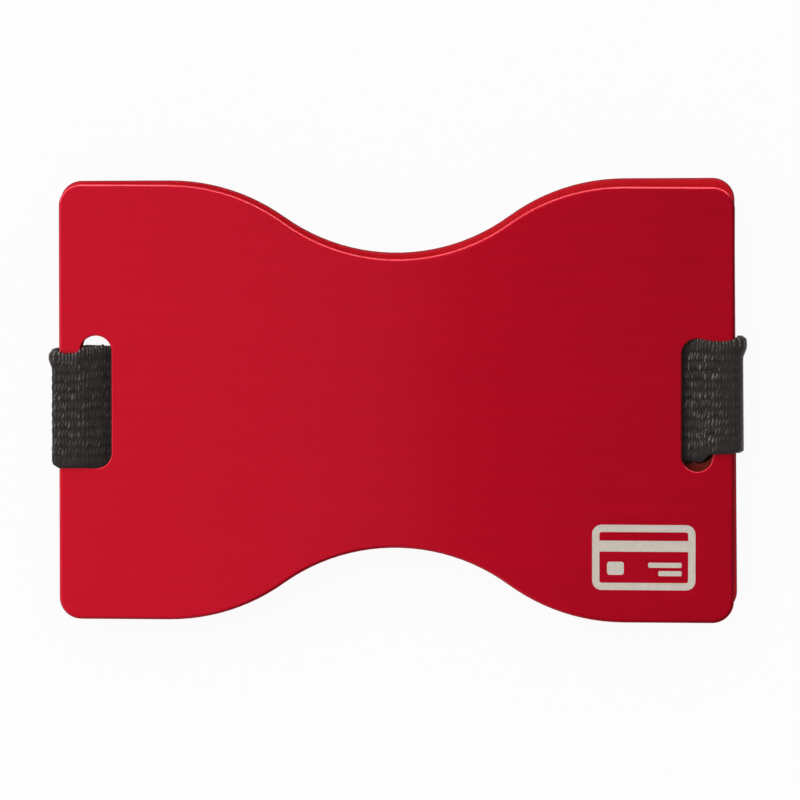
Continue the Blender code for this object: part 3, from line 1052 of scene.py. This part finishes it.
yarns, given, result = new_group(
    "yarns",
    [
        ("Place", VECTOR, None), ("Fibres", FLOAT, 5.0), ("Lean", FLOAT, 0.5),
        ("Raggedness", FLOAT, 1.15),
    ],
    [("Stitch", FLOAT), ("Hole", FLOAT), ("Tone", FLOAT), ("Height", FLOAT)],
)
split = parts_of(yarns, given["Place"])
yarn_number = maths(yarns, "FLOOR", split[0])
core_number = maths(yarns, "FLOOR", split[1])
number = add_node(yarns, "ShaderNodeCombineXYZ", {0: yarn_number, 1: core_number}).outputs[0]
chance = add_node(yarns, "ShaderNodeTexWhiteNoise", {"Vector": number}, noise_dimensions="3D").outputs
own = add_node(yarns, "ShaderNodeSeparateColor", {0: chance["Color"]}).outputs
rag_noise = noise(yarns, given["Place"], 2.1, 4.0)
rag = times(yarns, minus(yarns, rag_noise, 0.5), given["Raggedness"])
in_cell_along = minus(yarns, maths(yarns, "FRACT", split[0]), 0.5)
in_cell_across = minus(yarns, maths(yarns, "FRACT", split[1]), 0.5)
leaning = times(yarns, in_cell_across, given["Lean"])
beside = maths(yarns, "ADD", minus(yarns, in_cell_along, leaning), rag)
stray = scaled(yarns, chance["Value"], DROP_STRAY, -DROP_STRAY / 2)


def oval(tree, first, first_size, second, second_size):
    """1 in the middle of an oval and 0 outside it, with a soft edge."""
    parts = [
        maths(tree, "POWER", maths(tree, "DIVIDE", offset, size), 2.0)
        for offset, size in ((first, first_size), (second, second_size))
    ]
    return smooth_ramp(tree, maths(tree, "ADD", *parts), OVAL_INNER, OVAL_OUTER, 1.0, 0.0)


shortest_drop = DROP_LENGTH - DROP_LENGTH_SPREAD / 2
drop_length = scaled(yarns, own[1], DROP_LENGTH_SPREAD, shortest_drop)
over_core = maths(yarns, "ADD", maths(yarns, "ADD", in_cell_across, rag), stray)
drop = oval(yarns, beside, DROP_WIDTH, over_core, drop_length)
to_border = minus(yarns, 0.5, maths(yarns, "ABSOLUTE", in_cell_along))
from_foot = minus(yarns, in_cell_across, HOLE_ACROSS)
hole = oval(yarns, maths(yarns, "ADD", to_border, rag), HOLE_WIDTH, from_foot, HOLE_LENGTH)
turns = times(yarns, times(yarns, split[0], given["Fibres"]), 2 * math.pi)
fibre = maths(yarns, "SINE", scaled(yarns, rag_noise, FIBRE_WANDER, turns))
has_hole = maths(yarns, "GREATER_THAN", own[2], HOLELESS_SHARE)
fill_inputs(yarns, result, {
    "Stitch": drop,
    "Hole": times(yarns, hole, has_hole),
    "Tone": own[0],
    "Height": scaled(yarns, fibre, 0.5, 0.5),
})
report_nodes("yarns", yarns)

# %% [markdown]
# Polyester yarn is black. Each stitch is painted a lighter grey: partly its own tone, and partly a
# painted highlight for the light that it catches. The pinholes are painted nearly pure black, a
# painted shade. The two outermost cores are bound tighter: the upper edge is a row of bright teeth
# over a plain dark border, and the lower one is plain. Sheen adds the soft glow of loose fibres.

# %% Woven elastic
# Near black for the pinholes: painted shade.
GAP_SHADE_BLACK = (0.0030, 0.0023, 0.0021, 1)
YARN_DARK = (0.0255, 0.0212, 0.0200, 1)
YARN_MIDDLE = (0.038, 0.0325, 0.0302, 1)
# The light grey of the stitches is partly a painted highlight.
YARN_LIGHT_AND_GLINT = (0.280, 0.248, 0.233, 1)
BORDER_CORES = 0.95
TEETH_FROM, TEETH_TO = 0.5, 0.2
TEETH_TONE, TEETH_TONE_LEAST = 0.75, 0.1
BORDER_TONE = 0.25
CREST_LOW, CREST_HIGH = 0.45, 0.75
OWN_TONE, OWN_TONE_LEAST = 1.15, 0.15
CLOUD_SPREAD, CLOUD_LEAST = 0.9, 0.1
SPECK_SPREAD, SPECK_LEAST = 1.7, 0.15
TONE_GAIN = 1.3
FIBRE_SHADE = 0.35
YARN_ROUGHNESS, FIBRE_ROUGHNESS = 0.55, 0.18

elastic, tree, shader, place = new_material("elastic_black")
woven_place = carried(tree, "weave_place", "Vector")
lean = YARN_SLANT / YARN_PITCH
yarn_look = placed_group(tree, yarns, {"Place": woven_place, "Lean": lean})
woven_split = parts_of(tree, woven_place)
off_middle = minus(tree, woven_split[1], CORES / 2)
from_middle = maths(tree, "ABSOLUTE", off_middle)
border_from, border_to = CORES / 2 - BORDER_CORES, CORES / 2 - BORDER_CORES / 2
open_and_unshaded_weave = ramp(tree, from_middle, border_from, border_to, 1.0, BORDER_TONE)
# Painted shade: the stitches are darkened on the bends and in the slots.
openness_and_light = carried(tree, "weave_openness_and_light")
open_and_unshaded_weave = times(tree, open_and_unshaded_weave, openness_and_light)
at_edge = ramp(tree, off_middle, CORES / 2 - TEETH_FROM, CORES / 2 - TEETH_TO)
teeth = times(tree, at_edge, ramp(tree, woven_split[2], CREST_LOW, CREST_HIGH))
clouds = placed_group(tree, mottle, {"Vector": place, "Patch Size": 1.8 * MM, "Contrast": 2.0})
specks = placed_group(tree, mottle, {"Vector": place, "Patch Size": 0.18 * MM, "Contrast": 3.4})
own_tone = maths(tree, "POWER", yarn_look["Tone"], 2.0)
tone = scaled(tree, own_tone, OWN_TONE, OWN_TONE_LEAST)
for cloudy, spread, least in (
    (clouds, CLOUD_SPREAD, CLOUD_LEAST),
    (specks, SPECK_SPREAD, SPECK_LEAST),
):
    tone = times(tree, tone, scaled(tree, cloudy["Mask"], spread, least))
tooth_tone = scaled(tree, yarn_look["Tone"], TEETH_TONE, TEETH_TONE_LEAST)
tooth_tone = times(tree, teeth, tooth_tone)
tone = maths(tree, "MAXIMUM", times(tree, tone, open_and_unshaded_weave), tooth_tone)
brightness_and_glint = times(tree, tone, TONE_GAIN, clamp=True)
# The stitch colour carries a painted highlight for the light each stitch catches.
stitch_colour_and_glint = mixed(tree, brightness_and_glint, YARN_MIDDLE, YARN_LIGHT_AND_GLINT)
fibre_shade = scaled(tree, yarn_look["Height"], FIBRE_SHADE, 1 - FIBRE_SHADE)
stitch = maths(tree, "MAXIMUM", yarn_look["Stitch"], teeth)
stitch = times(tree, stitch, fibre_shade)
# Pinholes are painted shade, nearly black.
pinhole_shade = times(tree, yarn_look["Hole"], open_and_unshaded_weave)
between = mixed(tree, pinhole_shade, YARN_DARK, GAP_SHADE_BLACK)
fill_inputs(tree, shader, {
    "Base Color": mixed(tree, stitch, between, stitch_colour_and_glint),
    "Roughness": scaled(tree, yarn_look["Height"], FIBRE_ROUGHNESS, YARN_ROUGHNESS),
    "Normal": bumped(tree, yarn_look["Height"], 0.015 * MM, 0.8),
    "Specular IOR Level": 0.12,
    "Sheen Weight": 0.03,
    "Sheen Roughness": 0.4,
})
elastic_pieces = (
    elastic_front, elastic_rear_left, elastic_rear_right, elastic_side_left, elastic_side_right
)
for strip in elastic_pieces:
    dress(strip, elastic)
report_nodes("elastic_black", tree)

# %% [markdown]
# The sewing thread is the same black, twisted from plies. Waves that slant across it stand for the
# twist.

# %% Sewing thread
THREAD_BLACK = (0.030, 0.030, 0.032, 1)
THREAD_DEEP = (0.008, 0.008, 0.009, 1)
TWIST_SCALE = 1000.0
THREAD_ROUGHNESS, WORN_ROUGHNESS = 0.5, 0.2

thread, tree, shader, place = new_material("thread_black")
slanted = {"wave_type": "BANDS", "bands_direction": "DIAGONAL"}
twist_inputs = {"Vector": place, "Scale": TWIST_SCALE, "Distortion": 0.4}
twist = add_node(tree, "ShaderNodeTexWave", twist_inputs, **slanted).outputs["Fac"]
worn = placed_group(tree, mottle, {"Vector": place, "Patch Size": 1.5 * MM, "Contrast": 1.5})
shade = times(tree, twist, worn["Mask"])
fill_inputs(tree, shader, {
    "Base Color": mixed(tree, shade, THREAD_DEEP, THREAD_BLACK),
    "Roughness": scaled(tree, worn["Mask"], WORN_ROUGHNESS, THREAD_ROUGHNESS),
    "Normal": bumped(tree, twist, 0.02 * MM),
})
dress(seam, thread)
report_nodes("thread_black", tree)

# %% [markdown]
# Screen ink is matt and never quite even: it is thinner here and there, and the metal's grain
# shows through as faint lines.

# %% Print ink
INK_WARM = (0.70, 0.63, 0.55, 1)
INK_THIN = (0.58, 0.51, 0.445, 1)
INK_GRAIN_TONE, INK_CLOUD_TONE = 0.3, 0.7
INK_ROUGHNESS, INK_CLOUD_ROUGHNESS = 0.45, 0.15

ink, tree, shader, place = new_material("ink_light")
grain = placed_group(tree, brushing, {"Vector": place, "Line Width": 0.1 * MM, "Stretch": 12.0})
clouds = placed_group(tree, mottle, {"Vector": place, "Patch Size": 0.7 * MM, "Contrast": 1.8})
film_tone = times(tree, clouds["Mask"], INK_CLOUD_TONE)
film_tone = scaled(tree, grain["Mask"], INK_GRAIN_TONE, film_tone)
fill_inputs(tree, shader, {
    "Base Color": mixed(tree, film_tone, INK_THIN, INK_WARM),
    "Roughness": scaled(tree, clouds["Mask"], INK_CLOUD_ROUGHNESS, INK_ROUGHNESS),
})
dress(card_print, ink)
report_nodes("ink_light", tree)

# %% [markdown]
# The floor is pale card. Where the camera looks at it directly, or sees it in the metal, most of
# its white is given by a plain emission of 1, so no extra lamp has to burn it out. The rest is a
# real diffuse surface that keeps a faint shadow of the holder.

# %% Floor
FLOOR_SIZE = 12.0
FLOOR_WHITE = 0.8
SHOWN_WHITE_SHARE = 0.94

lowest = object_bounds()[0][2]
bpy.ops.mesh.primitive_plane_add(size=FLOOR_SIZE, location=(0, 0, lowest))
floor = new_piece("floor")
open_edit()
bpy.ops.mesh.subdivide(number_cuts=3)
close_edit()
card = bpy.data.materials.new("pale_card")
card.use_nodes = True
tree = card.node_tree
tree.nodes.clear()
pale = (FLOOR_WHITE, FLOOR_WHITE, FLOOR_WHITE, 1)
diffuse = add_node(tree, "ShaderNodeBsdfDiffuse", {"Color": pale})
white = add_node(tree, "ShaderNodeEmission", {"Color": (1, 1, 1, 1), "Strength": 1.0})
ray = add_node(tree, "ShaderNodeLightPath").outputs
seen = maths(tree, "MAXIMUM", ray["Is Camera Ray"], ray["Is Glossy Ray"])
seen = maths(tree, "MAXIMUM", seen, ray["Is Transmission Ray"])
shown = times(tree, seen, SHOWN_WHITE_SHARE)
both = {0: shown, 1: diffuse.outputs[0], 2: white.outputs[0]}
surface = add_node(tree, "ShaderNodeMixShader", both).outputs[0]
add_node(tree, "ShaderNodeOutputMaterial", {"Surface": surface})
dress(floor, card)
print("floor at", lowest)

# %% [markdown]
# The light is a plain studio. The sky is dark towards the lower right and bright towards the upper
# left, with a soft border just past the zenith. It is dimmer at the far left, and pale all round
# the horizon. A broad panel hangs over the left half, so the metal darkens gently towards the
# right. A thin bright arc stands round the upper side and draws the line along the rims. Its ring
# is centred on the direction that the flat faces reflect to the camera, twice the slope of a rim
# away from it, so that the line is even all along the rims.

# %% Light
SKY_DARK, SKY_BRIGHT, SKY_HORIZON = 0.12, 0.96, 0.9
SKY_LEAN = (-0.6, 0.75, 0)
SKY_BORDER = 0.16
FAR_LEFT_LOW, FAR_LEFT_HIGH, FAR_LEFT_SHARE = 0.42, 0.62, 0.5
HORIZON_LOW, HORIZON_HIGH = 0.10, 0.75
PANEL_PLACE, PANEL_SIZE = (-0.273, -0.16, 0.40), (0.50, 0.50)
PANEL_RADIANCE = 0.62
ARC_AXIS = (-0.07, -0.08, 0.994)
ARC_COSINE = math.cos(2 * math.atan(STEEP_DEPTH / STEEP_WIDTH))
ARC_HALF_WIDTH, ARC_SOFTNESS = 0.011, 0.012
ARC_LEAN = (-0.26, 0.97, 0)
ARC_END_LOW, ARC_END_HIGH = 0.18, 0.32
ARC_RADIANCE = 10.5

# A lamp faces down when it is added, and its energy follows from its radiance, where 1 is white.
bpy.ops.object.light_add(type="AREA", location=PANEL_PLACE)
panel = bpy.context.object
panel.name = "left_panel"
panel.data.shape = "RECTANGLE"
panel.data.size, panel.data.size_y = PANEL_SIZE
panel.data.energy = PANEL_RADIANCE * math.pi * PANEL_SIZE[0] * PANEL_SIZE[1]
panel.visible_camera = False


def along_axis(tree, direction, axis):
    """How far a direction points along an axis: the cosine between them, for unit lengths."""
    inputs = {0: direction, 1: axis}
    return add_node(tree, "ShaderNodeVectorMath", inputs, operation="DOT_PRODUCT").outputs["Value"]


world = bpy.data.worlds.new("studio_sky")
bpy.context.scene.world = world
world.use_nodes = True
tree = world.node_tree
direction = add_node(tree, "ShaderNodeTexCoord").outputs["Generated"]
towards = along_axis(tree, direction, SKY_LEAN)
side = smooth_ramp(tree, towards, -SKY_BORDER, SKY_BORDER, SKY_DARK, SKY_BRIGHT)
direction_parts = parts_of(tree, direction)
leftwards = times(tree, direction_parts[0], -1.0)
far_left = smooth_ramp(tree, leftwards, FAR_LEFT_LOW, FAR_LEFT_HIGH, 1.0, FAR_LEFT_SHARE)
side = times(tree, side, far_left)
near_horizon = smooth_ramp(tree, direction_parts[2], HORIZON_LOW, HORIZON_HIGH, 1.0, 0.0)
sky = scaled(tree, minus(tree, SKY_HORIZON, side), near_horizon, side)
off_axis = minus(tree, along_axis(tree, direction, ARC_AXIS), ARC_COSINE)
off_arc = maths(tree, "ABSOLUTE", off_axis)
arc = smooth_ramp(tree, off_arc, ARC_HALF_WIDTH, ARC_HALF_WIDTH + ARC_SOFTNESS, ARC_RADIANCE, 0.0)
beyond = along_axis(tree, direction, ARC_LEAN)
arc = times(tree, arc, smooth_ramp(tree, beyond, ARC_END_LOW, ARC_END_HIGH, 0.0, 1.0))
light = {"Color": (1, 1, 1, 1), "Strength": maths(tree, "ADD", sky, arc)}
fill_inputs(tree, tree.nodes["Background"], light)
report_nodes("studio_sky", tree)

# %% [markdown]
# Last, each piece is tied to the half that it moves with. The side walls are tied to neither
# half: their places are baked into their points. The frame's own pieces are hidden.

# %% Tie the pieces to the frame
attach(front_plate, "front")
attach(card_print, "front")
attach(elastic_front, "front")
for piece in (rear_plate, elastic_rear_left, elastic_rear_right, seam):
    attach(piece, "rear")
for wall in (elastic_side_left, elastic_side_right):
    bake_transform(wall)

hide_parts("front_plate")
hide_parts("rear_plate")
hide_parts("band_front")
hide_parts("band_rear_left")
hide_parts("band_rear_right")
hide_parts("band_side_left")
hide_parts("band_side_right")
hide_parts("seam_thread")
print("side walls bend between", rear_end, "and", front_end)
